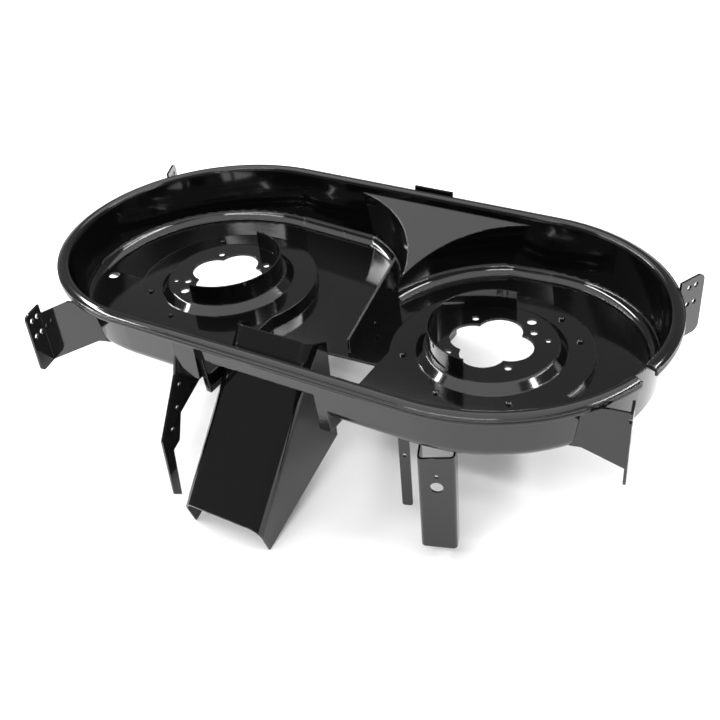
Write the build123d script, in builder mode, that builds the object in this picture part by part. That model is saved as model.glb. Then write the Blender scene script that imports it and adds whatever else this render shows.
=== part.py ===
"""Twin-spindle rear-discharge mower deck: pressed steel pan with its welded brackets, open side up."""
from build123d import *
import os
from math import cos, radians, sin, tan

# Driving dimensions in millimetres; the rim's top face is z = 0 and +Y is the mower's front
sheet = 3.0
plate = 4.0
spindle_pitch = 512.0
wall_radius = 260.0
wall_draft = 5.0
floor_depth = 89.0
floor_fillet = 18.0

# Rolled rim: an outward flange with a short turned-down edge
rim_flange = 17.0
rim_edge_depth = 9.0
rim_round = 4.0
rim_notch_width = 31.0
rim_notch_angle = -17.0
rim_radius = wall_radius + sheet + rim_flange

# Grass channels: crescent pockets whose floors fall towards the middle of the deck
channel_depth = 118.0
channel_slope = 0.05
channel_start_y = -62.0
land_radius = 160.0
tunnel_left_x = -112.0
tunnel_right_x = 113.0

# Nose between the two blade circles, on the front wall
nose_tip_x = 52.0
nose_tip_y = 169.0
nose_wall_overlap = 2.0
nose_lean_x = 0.22
nose_lean_y = 0.67
nose_left_x = -165.0
nose_right_x = 250.0
nose_top_depth = 14.0
nose_top_slope = 24.0

# Spindle seats: raised pads with a four-lobed opening and four bolt holes
pad_depth = 77.0
pad_radius = 105.0
pad_foot_radius = 118.0
pad_round = 4.0
lobe_offset = 32.0
lobe_radius = 36.0
spindle_bolt_pitch = 100.0
spindle_bolt_hole = 11.0
locating_hole = 15.0
locating_x = 35.0
locating_y = 77.0
drain_hole = 20.0
drain_x = -462.0
drain_y = -74.0
pad_hole = 8.0
left_pad_hole = (-71.0, -57.0)
right_pad_hole = (78.0, 39.0)

# String guards: half rings that face the middle of the deck
guard_radius = 100.0
guard_sheet = 2.5
guard_height = 34.0

# Discharge opening in the floor and rear wall
opening_front_y = -85.0
opening_length = 148.0
opening_left_x = -106.0
window_depth = 48.0
window_right_x = 96.0

# Discharge chute: one folded plate, a sloping floor with two side walls
chute_left_x = opening_left_x
chute_right_x = 42.0
chute_bend = 20.0
chute_top_inset = 85.0
chute_top_z = -31.0
chute_length = 293.0
chute_slope = 49.0
chute_tip_back = 18.0
chute_tip_drop = 56.0
chute_wall_reach = 38.0
chute_corner_z = -238.0

# Baffle plate standing in the tunnel behind the nose
baffle_x = 40.0
baffle_front_y = 86.0
baffle_rear_y = -78.0
baffle_front_z = -22.0
baffle_rear_z = -84.0
baffle_hole = 7.0

# Cover studs welded around the spindle seats
stud_circle_radius = 138.0
stud_radius = 5.0
stud_height = 4.5
left_stud_angles = (131.0, 221.0, 261.0)
right_stud_angles = (32.0, 60.0, 211.0, 258.0, 305.0)

# Gauge wheel brackets: a gusset plate with a drilled flange folded at its outer end
# Each row: name, side of the deck, place on the wall and direction in degrees, fold side
bracket_rows = (
    ("rear_left", -1, -107.7, 194.0, -1),
    ("rear_right", 1, -37.8, 12.0, 1),
    ("front_left", -1, 139.4, 205.0, 1),
    ("front_right", 1, 40.6, -25.0, -1),
)
bracket_reach = {"rear_left": 102.6, "rear_right": 62.4, "front_left": 48.0, "front_right": 48.0}
bracket_shoulder = {"rear_left": 42.6, "rear_right": 36.4, "front_left": 33.0, "front_right": 33.0}
bracket_end_top = {"rear_left": -42.0, "rear_right": -14.0, "front_left": -14.0, "front_right": -14.0}
flange_top = {"rear_left": -26.0, "rear_right": 6.0, "front_left": 5.0, "front_right": 5.0}
flange_bottom = {"rear_left": -136.0, "rear_right": -112.0, "front_left": -100.0, "front_right": -100.0}
flange_width = {"rear_left": 40.0, "rear_right": 40.0, "front_left": 52.0, "front_right": 52.0}
bracket_top = -12.0
bracket_wall_bottom = -84.0
wall_overlap = 30.0
wheel_hole = 9.0
wheel_hole_pitch = 30.0
wheel_hole_row = 15.0

# Hangers that carry the deck under the machine
tube_width = 54.0
tube_depth = 32.0
tube_corner = 7.0
tube_place = -83.6
tube_inset = 19.5
tube_seat = 12.0
tube_turn = 18.6
tube_foot_z = -275.0
tube_pin_hole = 19.0
tube_bolt_hole = 6.0
tube_pin_drop = 62.0
tube_bolt_drop = 41.0
tube_mouth_slant = 22.0
strap_width = 16.0
strap_place = -101.2
strap_inset = 44.0
strap_foot_z = -254.0
strap_hole = 7.0
strap_hole_drop = 60.0
side_hanger_x = -154.0
side_hanger_tab_top = -20.0
side_hanger_tab_height = 60.0
side_hanger_tab_rise = 8.0
side_hanger_hole = 7.0
# Distance outwards from the rear wall, and height
side_hanger_holes = ((14.0, -99.0), (29.0, -134.0), (49.0, -164.0))
side_hanger_outline = (
    (-25.0, -20.0),
    (-4.0, -20.0),
    (6.0, -40.0),
    (18.0, -77.0),
    (76.0, -170.0),
    (78.0, -280.0),
    (63.0, -293.0),
    (57.0, -201.0),
    (40.0, -193.0),
    (24.0, -148.0),
    (-35.0, -119.0),
    (-35.0, -60.0),
)
front_hanger_width = 76.0
front_hanger_x = 13.0
front_hanger_reach = 8.0
front_hanger_rise = 5.0
front_hanger_foot_z = -306.0
front_hanger_web = 60.0
front_hanger_gap = 2.0
front_hanger_leg = 30.0
front_hanger_hole = 12.0

# Worked out from the sizes above
spindle_x = spindle_pitch / 2
draft_slope = tan(radians(wall_draft))
land_z = -(floor_depth + sheet)
far_reach = 2 * (spindle_x + rim_radius)

os.makedirs("parts", exist_ok=True)


def stadium_loft(radius, top_z, bottom_z):
    """Drafted stadium between two heights; the radius is the one at the rim's top face."""
    sections = []
    for height in (top_z, bottom_z):
        with BuildSketch(Plane.XY.offset(height)) as outline:
            SlotCenterToCenter(spindle_pitch, 2 * (radius + height * draft_slope))
        sections.append(outline.sketch)
    loft(sections, ruled=True)


def nose_section(z, grow):
    """Plan of the nose at height z: two arcs that leave the front wall and meet at the tip."""
    tip = (nose_tip_x + nose_lean_x * z, nose_tip_y + nose_lean_y * z + 2 * grow)
    wall_y = wall_radius + nose_wall_overlap + grow
    with BuildSketch(Plane.XY.offset(z)) as outline:
        with BuildLine():
            TangentArc((nose_left_x, wall_y), tip, tangent=(1, 0))
            TangentArc((nose_right_x, wall_y), tip, tangent=(-1, 0))
            Line((nose_left_x, wall_y), (nose_right_x, wall_y))
        make_face()
    return outline.sketch


def pan_form(grow):
    """Solid that fills the pan: grow is 0 for the inside faces and the sheet for the outside ones."""
    with BuildPart() as channel:
        stadium_loft(wall_radius + grow, -floor_depth / 2, -channel_depth - 2 * floor_fillet)
        with BuildSketch(Plane.XY):
            with Locations((0, channel_start_y - grow)):
                Rectangle(far_reach, far_reach, align=(Align.CENTER, Align.MIN))
            with Locations((tunnel_left_x - grow, channel_start_y)):
                Rectangle(tunnel_right_x - tunnel_left_x + 2 * grow, far_reach, align=(Align.MIN, Align.MAX))
            with Locations((-spindle_x, 0), (spindle_x, 0)):
                Circle(land_radius - grow, mode=Mode.SUBTRACT)
        extrude(amount=-2 * channel_depth, mode=Mode.INTERSECT)
        for side in (-1, 1):
            floor_tilt = (side * channel_slope, 0, 1)
            split(bisect_by=Plane((0, 0, -channel_depth - grow), z_dir=floor_tilt), keep=Keep.TOP)
    with BuildPart() as nose:
        loft([nose_section(-channel_depth - floor_fillet, grow), nose_section(0, grow)], ruled=True)
        nose_normal = (0, -sin(radians(nose_top_slope)), cos(radians(nose_top_slope)))
        split(bisect_by=Plane(origin=(0, wall_radius, -nose_top_depth - grow), z_dir=nose_normal),
              keep=Keep.BOTTOM)
    with BuildPart() as pads:
        with BuildSketch(Plane.XZ):
            with BuildLine():
                foot = (pad_foot_radius - grow, -floor_depth - grow)
                edge = (pad_radius - grow, -pad_depth - grow)
                Polyline((0, -channel_depth), (0, edge[1]), edge, foot, (foot[0], -channel_depth), close=True)
            make_face()
        revolve(axis=Axis.Z)
        fillet(pads.edges().group_by(Axis.Z)[-1], pad_round + grow / 2)
    with BuildPart() as pan:
        stadium_loft(wall_radius + grow, 0, -floor_depth - grow)
        fillet(pan.edges().group_by(Axis.Z)[0], floor_fillet + grow)
        add(channel.part)
        add(nose.part, mode=Mode.SUBTRACT)
        with Locations((-spindle_x, 0), (spindle_x, 0)):
            add(pads.part, mode=Mode.SUBTRACT)
    return pan.part


def seat_plane(x, y, turn):
    """Vertical plane through a point on the wall: local x runs outwards along turn, local y is up."""
    outward = (cos(radians(turn)), sin(radians(turn)), 0)
    return Plane(origin=(x, y, 0), x_dir=outward, z_dir=(outward[1], -outward[0], 0))


def place_under_floor(place, inset):
    """Plane on the floor's underside, at an angle about the right spindle and a distance inside the wall."""
    radius = wall_radius - inset
    spot = (spindle_x + radius * cos(radians(place)), radius * sin(radians(place)), land_z)
    return Plane(origin=spot).rotated((0, 0, tube_turn))


def write(piece, name):
    piece.part.label = name
    export_step(piece.part, f"parts/{name}.step")


pan_outside = pan_form(sheet)
pan_inside = pan_form(0)

with BuildPart() as deck_shell:
    add(pan_outside)
    with BuildSketch(Plane.XY):
        SlotCenterToCenter(spindle_pitch, 2 * rim_radius)
    extrude(amount=-sheet)
    with BuildSketch(Plane.XY):
        SlotCenterToCenter(spindle_pitch, 2 * rim_radius)
        SlotCenterToCenter(spindle_pitch, 2 * (rim_radius - sheet), mode=Mode.SUBTRACT)
    extrude(amount=-rim_edge_depth)
    add(pan_inside, mode=Mode.SUBTRACT)
    fillet(deck_shell.faces().sort_by(Axis.Z)[-1].edges(), rim_round)
    # Notch in the rim flange
    with Locations(Plane(origin=(spindle_x, 0, 0)).rotated((0, 0, rim_notch_angle))):
        with Locations((rim_radius, 0, 0)):
            Box(2 * (rim_radius - wall_radius - 2 * sheet), rim_notch_width, 3 * rim_edge_depth,
                mode=Mode.SUBTRACT)
    # Discharge opening through the tunnel floor, and the window in the rear wall above it
    with Locations((opening_left_x, opening_front_y, -floor_depth + floor_fillet)):
        Box(tunnel_right_x - opening_left_x, opening_length, channel_depth,
            align=(Align.MIN, Align.MAX, Align.MAX), mode=Mode.SUBTRACT)
    with Locations((opening_left_x, opening_front_y - opening_length / 2, -window_depth)):
        Box(window_right_x - opening_left_x, wall_radius, channel_depth,
            align=(Align.MIN, Align.MAX, Align.MAX), mode=Mode.SUBTRACT)
    # Spindle openings and their bolt holes
    with BuildSketch(Plane.XY):
        with Locations((-spindle_x, 0), (spindle_x, 0)):
            with PolarLocations(lobe_offset, 4):
                Circle(lobe_radius)
            with GridLocations(spindle_bolt_pitch, spindle_bolt_pitch, 2, 2):
                Circle(spindle_bolt_hole / 2)
        with Locations((spindle_x + locating_x, locating_y), (-spindle_x - locating_x, -locating_y)):
            Circle(locating_hole / 2)
        with Locations((drain_x, drain_y)):
            Circle(drain_hole / 2)
        for side, (hole_x, hole_y) in ((-1, left_pad_hole), (1, right_pad_hole)):
            with Locations((side * spindle_x + hole_x, hole_y)):
                Circle(pad_hole / 2)
    extrude(amount=-2 * channel_depth, mode=Mode.SUBTRACT)
write(deck_shell, "deck_shell")

# Discharge chute: a bent channel along the slope, trimmed to its side outline
chute_width = chute_right_x - chute_left_x
chute_top_y = chute_top_inset - wall_radius
chute_front_y = chute_top_y + chute_wall_reach
chute_plane = Plane(
    origin=((chute_left_x + chute_right_x) / 2, chute_top_y, chute_top_z),
    x_dir=(1, 0, 0),
    z_dir=(0, -cos(radians(chute_slope)), -sin(radians(chute_slope))),
)
chute_end = chute_plane.from_local_coords((0, 0, chute_length))
with BuildPart() as discharge_chute:
    with BuildSketch(chute_plane.offset(-chute_length)) as section:
        Rectangle(chute_width, chute_length, align=(Align.CENTER, Align.MAX))
        fillet(section.vertices().group_by(Axis.Y)[-1], chute_bend)
        offset(section.faces()[0], -sheet, mode=Mode.SUBTRACT)
        with Locations((0, -chute_length)):
            Rectangle(chute_width - 2 * sheet, 2 * chute_bend, mode=Mode.SUBTRACT)
    extrude(amount=3 * chute_length)
    with BuildSketch(Plane.YZ.offset(chute_left_x)):
        with BuildLine():
            Polyline(
                (chute_top_y, chute_top_z),
                (chute_end.Y, chute_end.Z),
                (chute_end.Y + chute_tip_back, chute_end.Z - chute_tip_drop),
                (chute_front_y, chute_corner_z),
                (chute_front_y, chute_top_z - chute_bend),
                close=True,
            )
        make_face()
    extrude(amount=chute_width, mode=Mode.INTERSECT)
write(discharge_chute, "discharge_chute")

# Baffle plate on the tunnel floor
baffle_foot_z = -channel_depth + channel_slope * (baffle_x + plate)
with BuildPart() as baffle_plate:
    with BuildSketch(Plane.YZ.offset(baffle_x)):
        with BuildLine():
            Polyline(
                (baffle_front_y, baffle_foot_z),
                (baffle_front_y, baffle_front_z),
                (baffle_rear_y, baffle_rear_z),
                (baffle_rear_y, baffle_foot_z),
                close=True,
            )
        make_face()
        with Locations(((baffle_front_y + baffle_rear_y) / 2, (baffle_rear_z + baffle_foot_z) / 2)):
            Circle(baffle_hole / 2, mode=Mode.SUBTRACT)
    extrude(amount=plate)
write(baffle_plate, "baffle_plate")

# String guards and cover studs of the two spindle seats
for side, name, stud_angles in ((-1, "left", left_stud_angles), (1, "right", right_stud_angles)):
    with BuildPart() as guard:
        with BuildSketch(Plane((side * spindle_x, 0, -pad_depth))):
            Circle(guard_radius)
            Circle(guard_radius - guard_sheet, mode=Mode.SUBTRACT)
            with Locations((side * guard_radius, 0)):
                Rectangle(2 * guard_radius, 2 * guard_radius, mode=Mode.SUBTRACT)
        extrude(amount=guard_height)
    write(guard, f"{name}_string_guard")
    with BuildPart() as studs:
        with BuildSketch(Plane((side * spindle_x, 0, -floor_depth))):
            for angle in stud_angles:
                with PolarLocations(stud_circle_radius, 1, start_angle=angle):
                    Circle(stud_radius)
        extrude(amount=stud_height)
        chamfer(studs.edges().group_by(Axis.Z)[-1], stud_height / 3)
    write(studs, f"{name}_cover_studs")

# Gauge wheel brackets, each seated on the outer face of the pan
for name, side, place, turn, fold in bracket_rows:
    wall_x = side * spindle_x + wall_radius * cos(radians(place))
    outline_plane = seat_plane(wall_x, wall_radius * sin(radians(place)), turn)
    reach = bracket_reach[name]
    with BuildPart() as bracket:
        with BuildSketch(outline_plane):
            with BuildLine():
                Polyline(
                    (-wall_overlap, bracket_top),
                    (bracket_shoulder[name], bracket_top),
                    (reach, bracket_end_top[name]),
                    (reach, flange_bottom[name]),
                    (0, bracket_wall_bottom),
                    (-wall_overlap, bracket_wall_bottom),
                    close=True,
                )
            make_face()
        extrude(amount=fold * plate)
        flange_out = outline_plane.z_dir * fold
        flange_plane = Plane(
            origin=outline_plane.from_local_coords((reach, flange_top[name], 0)),
            x_dir=flange_out,
            z_dir=flange_out.cross(Vector(0, 0, 1)),
        )
        flange_height = flange_top[name] - flange_bottom[name]
        with BuildSketch(flange_plane):
            face = Rectangle(flange_width[name], flange_height, align=(Align.MIN, Align.MAX))
            fillet(face.vertices().group_by(Axis.X)[-1], flange_width[name] / 4)
            with Locations((flange_width[name] / 2, -wheel_hole_pitch)):
                with GridLocations(wheel_hole_row, wheel_hole_pitch, 2, 2):
                    Circle(wheel_hole / 2, mode=Mode.SUBTRACT)
        extrude(amount=plate / 2, both=True)
        add(pan_outside, mode=Mode.SUBTRACT)
    write(bracket, f"{name}_wheel_bracket")

# Rear left hanger: a drilled plate beside the chute with a tab on the rear wall
with BuildPart() as rear_left_hanger:
    with BuildSketch(Plane.YZ.offset(side_hanger_x)):
        with BuildLine():
            Polyline([(-wall_radius - out, z) for out, z in side_hanger_outline], close=True)
        make_face()
        for out, hole_z in side_hanger_holes:
            with Locations((-wall_radius - out, hole_z)):
                Circle(side_hanger_hole / 2, mode=Mode.SUBTRACT)
    extrude(amount=plate)
    with Locations((side_hanger_x, -wall_radius - side_hanger_tab_rise, side_hanger_tab_top)):
        Box(opening_left_x - side_hanger_x - plate, 3 * plate, side_hanger_tab_height,
            align=(Align.MIN, Align.MIN, Align.MAX))
    add(pan_outside, mode=Mode.SUBTRACT)
write(rear_left_hanger, "rear_left_hanger")

# Rear right hanger: a channel open to the front, with its mouth cut at a slant
tube_plane = place_under_floor(tube_place, tube_inset)
with BuildPart() as rear_right_hanger:
    with BuildSketch(tube_plane):
        RectangleRounded(tube_width, tube_depth, tube_corner)
        inner_width = tube_width - 2 * sheet
        RectangleRounded(inner_width, tube_depth - 2 * sheet, tube_corner - sheet, mode=Mode.SUBTRACT)
        with Locations((0, tube_depth / 2)):
            Rectangle(inner_width, 2 * tube_corner, mode=Mode.SUBTRACT)
    extrude(amount=tube_foot_z - land_z)
    mouth_edge = Plane(
        origin=tube_plane.from_local_coords((0, tube_depth / 2 - tube_seat, 0)),
        x_dir=tube_plane.x_dir,
        z_dir=tube_plane.z_dir,
    )
    split(bisect_by=mouth_edge.rotated((tube_mouth_slant, 0, 0)), keep=Keep.BOTTOM)
    for hole, drop in ((tube_pin_hole, tube_pin_drop), (tube_bolt_hole, tube_bolt_drop)):
        face_plane = Plane(tube_plane.from_local_coords((0, 0, -drop)), x_dir=tube_plane.x_dir,
                           z_dir=tube_plane.y_dir)
        with BuildSketch(face_plane):
            Circle(hole / 2)
        extrude(amount=-tube_depth, mode=Mode.SUBTRACT)
write(rear_right_hanger, "rear_right_hanger")

# Rear strap: a flat bar under the floor beside the tube
strap_plane = place_under_floor(strap_place, strap_inset)
with BuildPart() as rear_strap:
    with BuildSketch(Plane(strap_plane.origin, x_dir=strap_plane.x_dir, z_dir=-strap_plane.y_dir)):
        bar = Rectangle(strap_width, land_z - strap_foot_z, align=(Align.CENTER, Align.MAX))
        fillet(bar.vertices().group_by(Axis.Y)[0], strap_width / 4)
        with Locations((0, -strap_hole_drop)):
            Circle(strap_hole / 2, mode=Mode.SUBTRACT)
    extrude(amount=plate)
write(rear_strap, "rear_strap")

# Front hanger: a folded bracket on the front wall with two legs
with BuildPart() as front_hanger:
    front_y = rim_radius + front_hanger_reach
    with BuildSketch(Plane.XZ.offset(-front_y)):
        with Locations((front_hanger_x, front_hanger_rise)):
            web_height = front_hanger_rise + front_hanger_web
            Rectangle(front_hanger_width, web_height, align=(Align.CENTER, Align.MAX))
    extrude(amount=plate)
    for side in (-1, 1):
        leg_x = front_hanger_x + side * (front_hanger_width - plate) / 2 - plate / 2
        with BuildSketch(Plane.YZ.offset(leg_x)):
            with BuildLine():
                Polyline(
                    (front_y, -rim_edge_depth),
                    (front_y, front_hanger_foot_z),
                    (front_y - front_hanger_leg, front_hanger_foot_z),
                    (front_y - front_hanger_leg, -channel_depth - front_hanger_leg),
                    (wall_radius - wall_overlap, -floor_depth + floor_fillet),
                    (wall_radius - wall_overlap, -rim_edge_depth - rim_round),
                    (rim_radius + front_hanger_gap, -rim_edge_depth - rim_round),
                    (rim_radius + front_hanger_gap, -rim_edge_depth),
                    close=True,
                )
            make_face()
            with Locations((front_y - front_hanger_leg / 2, front_hanger_foot_z + front_hanger_leg)):
                Circle(front_hanger_hole / 2, mode=Mode.SUBTRACT)
        extrude(amount=plate)
    add(pan_outside, mode=Mode.SUBTRACT)
write(front_hanger, "front_hanger")
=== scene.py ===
"""Studio scene of the gloss black mower deck, seen from above its rear right corner."""
import math

import bmesh
import bpy
from mathutils import Matrix, Vector


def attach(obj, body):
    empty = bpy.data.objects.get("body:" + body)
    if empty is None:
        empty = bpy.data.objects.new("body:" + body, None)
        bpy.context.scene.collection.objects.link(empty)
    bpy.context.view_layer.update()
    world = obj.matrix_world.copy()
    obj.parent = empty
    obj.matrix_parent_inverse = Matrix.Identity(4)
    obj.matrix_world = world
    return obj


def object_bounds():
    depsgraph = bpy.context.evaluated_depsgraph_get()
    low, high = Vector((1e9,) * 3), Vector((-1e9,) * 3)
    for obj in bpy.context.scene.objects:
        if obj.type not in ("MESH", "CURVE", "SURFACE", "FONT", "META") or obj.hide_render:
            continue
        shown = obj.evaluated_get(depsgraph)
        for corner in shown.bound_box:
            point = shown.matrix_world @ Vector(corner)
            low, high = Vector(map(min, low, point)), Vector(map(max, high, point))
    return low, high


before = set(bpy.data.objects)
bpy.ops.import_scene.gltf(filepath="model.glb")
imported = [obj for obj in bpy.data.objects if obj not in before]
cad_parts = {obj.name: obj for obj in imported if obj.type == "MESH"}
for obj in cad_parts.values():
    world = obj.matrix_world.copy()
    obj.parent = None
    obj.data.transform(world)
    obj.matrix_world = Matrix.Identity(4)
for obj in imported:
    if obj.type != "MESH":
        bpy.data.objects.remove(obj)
cad_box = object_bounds()

# Camera, in metres and degrees in the deck's own frame
CAMERA_POSITION = (0.7778, -1.1497, 0.8279)
CAMERA_YAW = 33.769
CAMERA_PITCH = 36.285
CAMERA_ROLL = -5.474
SENSOR_MM = 36.0
LENS_MM = 49.66

# Paint: colour, gloss, orange peel, and the radius of the rounded edges
COAT_COLOUR = (0.0018, 0.0018, 0.0020, 1.0)
COAT_ROUGHNESS = 0.09
COAT_ROUGHNESS_SPREAD = 0.03
GLOSS_SCALE = 7.0
GLOSS_DETAIL = 3.0
COAT_IOR = 1.45
CLEAR_WEIGHT = 0.2
CLEAR_ROUGHNESS = 0.05
PEEL_SCALE = 240.0
PEEL_DETAIL = 1.0
PEEL_STRENGTH = 0.05
PEEL_DEPTH = 0.0004
PAN_EDGE_RADIUS = 0.0035
PLATE_EDGE_RADIUS = 0.0012
EDGE_SAMPLES = 6

# Pan sizes in metres, the same as the solids
END_CENTRE_X = 0.256
WALL_RADIUS = 0.260
WALL_DRAFT = math.tan(math.radians(5.0))
CHANNEL_DEPTH = 0.118
CHANNEL_SLOPE = 0.05
CHANNEL_START_ANGLE = 14.0
NOSE_LEFT_X = -0.165
NOSE_RIGHT_X = 0.250
NOSE_WALL_Y = 0.262
NOSE_TIP = (0.052, 0.169)
NOSE_LEAN = (0.22, 0.67)

# Rolled rim: section of the bead as radius and height, and the ends of its run at the notch
RIM_SECTION = (
    (0.2602, -0.0025), (0.2606, 0.0000), (0.2622, 0.0019), (0.2650, 0.0031), (0.2690, 0.0036),
    (0.2730, 0.0031), (0.2765, 0.0016), (0.2790, -0.0008), (0.2804, -0.0040), (0.2807, -0.0092),
    (0.2796, -0.0092), (0.2790, -0.0016), (0.2620, -0.0016),
)
RIM_START = -13.5
RIM_END = 339.5
RIM_STEPS = 240

# Foot of the channel walls: radius of the press and the steps along and across it
FOOT_RADIUS = 0.017
FOOT_STEPS = 60
FOOT_ARC_STEPS = 8
FOOT_SINK = 0.001
FOOT_PROBE = 0.01
NOSE_FOOT_LEAD = -0.03
NOSE_FOOT_END = 0.96
SHARP_ANGLE = math.radians(40.0)

# Studio
FLOOR_COLOUR = (0.90, 0.90, 0.90, 1.0)
FLOOR_ROUGHNESS = 0.9
FLOOR_SIZE = 24.0
SKY_COLOUR = (1.0, 1.0, 1.0, 1.0)
SKY_STRENGTH = 0.30

# Lights: name, position and target in metres, size of the rectangle, power in watts
LIGHTS = (
    ("top_softbox", (0.0, 0.3, 3.2), (0.0, 0.3, 0.0), (6.0, 6.0), 200.0),
    ("left_strip", (-2.2, -0.3, 1.7), (0.0, 0.0, 0.0), (2.6, 0.18), 75.0),
    ("right_strip", (2.2, 0.9, 1.9), (0.0, 0.0, 0.0), (2.6, 0.18), 75.0),
    ("near_strip", (0.2, -2.4, 2.4), (0.0, 0.0, 0.0), (2.6, 0.18), 60.0),
)


def paint_material(name, edge_radius):
    """Gloss black powder coat with a faint orange peel, slightly uneven gloss and rounded edges."""
    material = bpy.data.materials.new(name)
    material.use_nodes = True
    nodes = material.node_tree.nodes
    links = material.node_tree.links
    shader = nodes["Principled BSDF"]
    shader.inputs["Base Color"].default_value = COAT_COLOUR
    shader.inputs["IOR"].default_value = COAT_IOR
    shader.inputs["Coat Weight"].default_value = CLEAR_WEIGHT
    shader.inputs["Coat Roughness"].default_value = CLEAR_ROUGHNESS
    place = nodes.new("ShaderNodeTexCoord")
    gloss = nodes.new("ShaderNodeTexNoise")
    gloss.inputs["Scale"].default_value = GLOSS_SCALE
    gloss.inputs["Detail"].default_value = GLOSS_DETAIL
    spread = nodes.new("ShaderNodeMapRange")
    spread.inputs["To Min"].default_value = COAT_ROUGHNESS - COAT_ROUGHNESS_SPREAD
    spread.inputs["To Max"].default_value = COAT_ROUGHNESS + COAT_ROUGHNESS_SPREAD
    edge = nodes.new("ShaderNodeBevel")
    edge.samples = EDGE_SAMPLES
    edge.inputs["Radius"].default_value = edge_radius
    peel = nodes.new("ShaderNodeTexNoise")
    peel.inputs["Scale"].default_value = PEEL_SCALE
    peel.inputs["Detail"].default_value = PEEL_DETAIL
    bump = nodes.new("ShaderNodeBump")
    bump.inputs["Strength"].default_value = PEEL_STRENGTH
    bump.inputs["Distance"].default_value = PEEL_DEPTH
    links.new(place.outputs["Object"], gloss.inputs["Vector"])
    links.new(place.outputs["Object"], peel.inputs["Vector"])
    links.new(gloss.outputs["Fac"], spread.inputs["Value"])
    links.new(spread.outputs["Result"], shader.inputs["Roughness"])
    links.new(peel.outputs["Fac"], bump.inputs["Height"])
    links.new(edge.outputs["Normal"], bump.inputs["Normal"])
    links.new(bump.outputs["Normal"], shader.inputs["Normal"])
    return material


def floor_material():
    """Matt pale studio paper."""
    material = bpy.data.materials.new("studio_paper")
    material.use_nodes = True
    shader = material.node_tree.nodes["Principled BSDF"]
    shader.inputs["Base Color"].default_value = FLOOR_COLOUR
    shader.inputs["Roughness"].default_value = FLOOR_ROUGHNESS
    shader.inputs["Specular IOR Level"].default_value = 0.0
    return material


def paint_nodes():
    """The pan and the plates share one paint, with a larger edge radius on the pressed pan."""
    pan_paint = paint_material("pan_powder_coat", PAN_EDGE_RADIUS)
    plate_paint = paint_material("plate_powder_coat", PLATE_EDGE_RADIUS)
    for name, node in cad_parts.items():
        node.data.materials.clear()
        node.data.materials.append(pan_paint if name == "deck_shell" else plate_paint)
    return pan_paint


def smooth_piece(name, vertices, faces, material):
    """Mesh piece of the deck with smooth faces, riding on the deck."""
    mesh = bpy.data.meshes.new(name)
    mesh.from_pydata(vertices, [], faces)
    mesh.validate()
    shape = bmesh.new()
    shape.from_mesh(mesh)
    bmesh.ops.recalc_face_normals(shape, faces=shape.faces)
    shape.to_mesh(mesh)
    shape.free()
    mesh.set_sharp_from_angle(angle=SHARP_ANGLE)
    mesh.materials.append(material)
    piece = bpy.data.objects.new(name, mesh)
    bpy.context.scene.collection.objects.link(piece)
    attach(piece, "root")


def swept(name, sections, material):
    """Closed piece through a run of equal sections, with flat ends."""
    count = len(sections[0])
    vertices = [point for section in sections for point in section]
    faces = []
    for row in range(len(sections) - 1):
        for col in range(count):
            after = (col + 1) % count
            here = row * count
            ahead = here + count
            faces.append((here + col, here + after, ahead + after, ahead + col))
    faces.append(tuple(reversed(range(count))))
    faces.append(tuple((len(sections) - 1) * count + col for col in range(count)))
    smooth_piece(name, vertices, faces, material)


def rim_frame(angle):
    """Centre and outward direction of the stadium at an angle; straight sides lie at 90 and 270."""
    side = 1.0 if math.cos(math.radians(angle)) >= 0.0 else -1.0
    outward = Vector((math.cos(math.radians(angle)), math.sin(math.radians(angle)), 0.0))
    return Vector((side * END_CENTRE_X, 0.0, 0.0)), outward


def build_rim_bead(material):
    """Crown of the rolled rim, open at the notch."""
    sections = []
    for step in range(RIM_STEPS + 1):
        angle = RIM_START + (RIM_END - RIM_START) * step / RIM_STEPS
        centre, outward = rim_frame(angle)
        sections.append([centre + outward * radius + Vector((0.0, 0.0, height))
                         for radius, height in RIM_SECTION])
    swept("rim_bead", sections, material)


def channel_floor(x):
    """Height of the channel floor, which rises away from the middle of the deck."""
    return -CHANNEL_DEPTH + CHANNEL_SLOPE * abs(x)


def end_wall(side, first, last):
    """Wall of one end of the pan between two angles, as a function of place and height."""
    def at(part, z):
        angle = math.radians(first + (last - first) * part)
        radius = WALL_RADIUS + WALL_DRAFT * z
        return Vector((side * END_CENTRE_X + radius * math.cos(angle), radius * math.sin(angle), z))
    return at


def nose_wall(start_x):
    """Flank of the nose from the front wall to the tip, as a function of place and height."""
    def at(part, z):
        tip_x = NOSE_TIP[0] + NOSE_LEAN[0] * z
        tip_y = NOSE_TIP[1] + NOSE_LEAN[1] * z
        run = tip_x - start_x
        drop = NOSE_WALL_Y - tip_y
        radius = (run * run + drop * drop) / (2.0 * drop)
        sweep = math.atan2(abs(run), radius - drop) * part
        y = NOSE_WALL_Y - radius + radius * math.cos(sweep)
        x = start_x + math.copysign(radius, run) * math.sin(sweep)
        return Vector((x, min(y, WALL_RADIUS + WALL_DRAFT * z), z))
    return at


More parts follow.
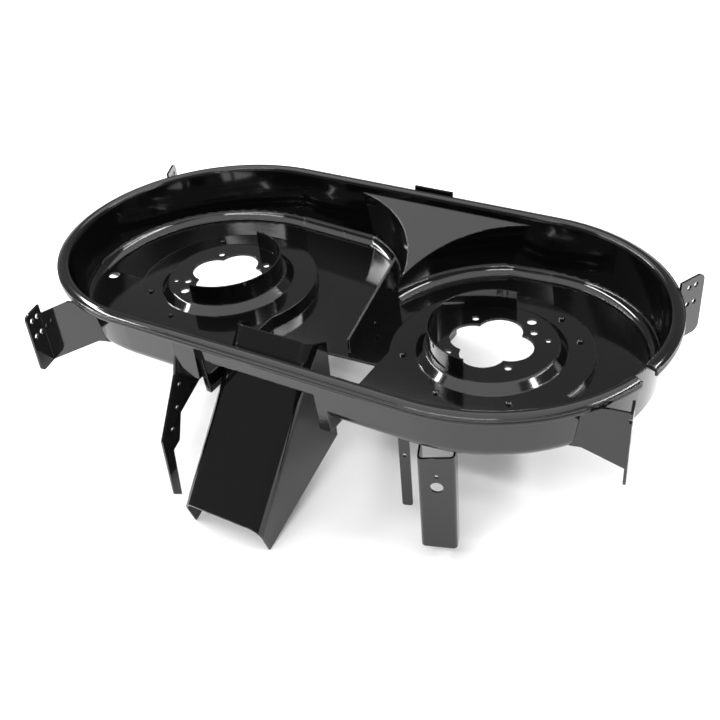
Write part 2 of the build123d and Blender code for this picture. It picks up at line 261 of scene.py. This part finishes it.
def foot_section(wall, part, inside):
    """Fillet between the wall and the channel floor at one place, as a closed outline."""
    z = channel_floor(wall(part, -CHANNEL_DEPTH).x)
    foot = wall(part, z)
    along = (wall(part + FOOT_PROBE, z) - wall(part - FOOT_PROBE, z)).normalized()
    up = wall(part, z + FOOT_PROBE) - foot
    up = (up - along * up.dot(along)).normalized()
    inward = Vector((-along.y, along.x, 0.0))
    if inward.dot(inside - foot) < 0.0:
        inward = -inward
    half = up.angle(inward) / 2.0
    middle = (up + inward).normalized()
    centre = foot + middle * (FOOT_RADIUS / math.sin(half))
    reach = FOOT_RADIUS / math.tan(half)
    high = (foot + up * reach - centre).normalized()
    low = (foot + inward * reach - centre).normalized()
    arc = []
    for step in range(FOOT_ARC_STEPS + 1):
        arc.append(centre + high.slerp(low, step / FOOT_ARC_STEPS) * FOOT_RADIUS)
    return arc + [foot - middle * FOOT_SINK]


def build_channel_feet(material):
    """Fillets at the foot of the channel walls, from one channel's start round to the other's."""
    left = Vector((-END_CENTRE_X, 0.0, -CHANNEL_DEPTH))
    right = Vector((END_CENTRE_X, 0.0, -CHANNEL_DEPTH))
    start_angle = CHANNEL_START_ANGLE

    def front_wall(part, z):
        x = -END_CENTRE_X + (NOSE_LEFT_X + END_CENTRE_X) * part
        return Vector((x, WALL_RADIUS + WALL_DRAFT * z, z))

    runs = (
        ("right_channel_foot", end_wall(1.0, -start_angle, 90.0), right, 0.0, 1.0),
        ("right_nose_foot", nose_wall(NOSE_RIGHT_X), right, NOSE_FOOT_LEAD, NOSE_FOOT_END),
        ("left_nose_foot", nose_wall(NOSE_LEFT_X), left, 0.0, NOSE_FOOT_END),
        ("left_channel_foot", end_wall(-1.0, 180.0 + start_angle, 90.0), left, 0.0, 1.0),
        ("front_channel_foot", front_wall, left, 0.0, 1.0),
    )
    for name, wall, inside, first, last in runs:
        parts = [first + (last - first) * k / FOOT_STEPS for k in range(FOOT_STEPS + 1)]
        swept(name, [foot_section(wall, part, inside) for part in parts], material)


def build_floor():
    bpy.ops.mesh.primitive_plane_add(size=FLOOR_SIZE, location=(0, 0, cad_box[0].z))
    floor = bpy.context.object
    floor.name = "studio_floor"
    floor.data.materials.append(floor_material())


def build_camera():
    """Camera at the photo's viewing angle: turned by the yaw, tipped by the pitch, then rolled."""
    yaw, pitch, roll = (math.radians(a) for a in (CAMERA_YAW, CAMERA_PITCH, CAMERA_ROLL))
    ahead = Vector((-math.sin(yaw), math.cos(yaw), 0.0))
    forward = ahead * math.cos(pitch) - Vector((0.0, 0.0, math.sin(pitch)))
    level = Vector((math.cos(yaw), math.sin(yaw), 0.0))
    above = level.cross(forward)
    right = level * math.cos(roll) + above * math.sin(roll)
    up = above * math.cos(roll) - level * math.sin(roll)
    data = bpy.data.cameras.new("photo_camera")
    data.sensor_width = SENSOR_MM
    data.lens = LENS_MM
    camera = bpy.data.objects.new("photo_camera", data)
    turn = Matrix((right, up, -forward)).transposed().to_4x4()
    camera.matrix_world = Matrix.Translation(CAMERA_POSITION) @ turn
    bpy.context.scene.collection.objects.link(camera)
    bpy.context.scene.camera = camera


def area_light(name, position, target, size, power):
    data = bpy.data.lights.new(name, "AREA")
    data.shape = "RECTANGLE"
    data.size, data.size_y = size
    data.energy = power
    light = bpy.data.objects.new(name, data)
    light.location = position
    aim = Vector(target) - Vector(position)
    light.rotation_mode = "QUATERNION"
    light.rotation_quaternion = aim.to_track_quat("-Z", "Y")
    bpy.context.scene.collection.objects.link(light)


def build_light():
    world = bpy.data.worlds.new("studio_sky")
    world.use_nodes = True
    sky = world.node_tree.nodes["Background"]
    sky.inputs["Color"].default_value = SKY_COLOUR
    sky.inputs["Strength"].default_value = SKY_STRENGTH
    bpy.context.scene.world = world
    for name, position, target, size, power in LIGHTS:
        area_light(name, position, target, size, power)


pan_coat = paint_nodes()
build_rim_bead(pan_coat)
build_channel_feet(pan_coat)
build_floor()
build_light()
build_camera()
bpy.context.scene.view_settings.view_transform = "Standard"
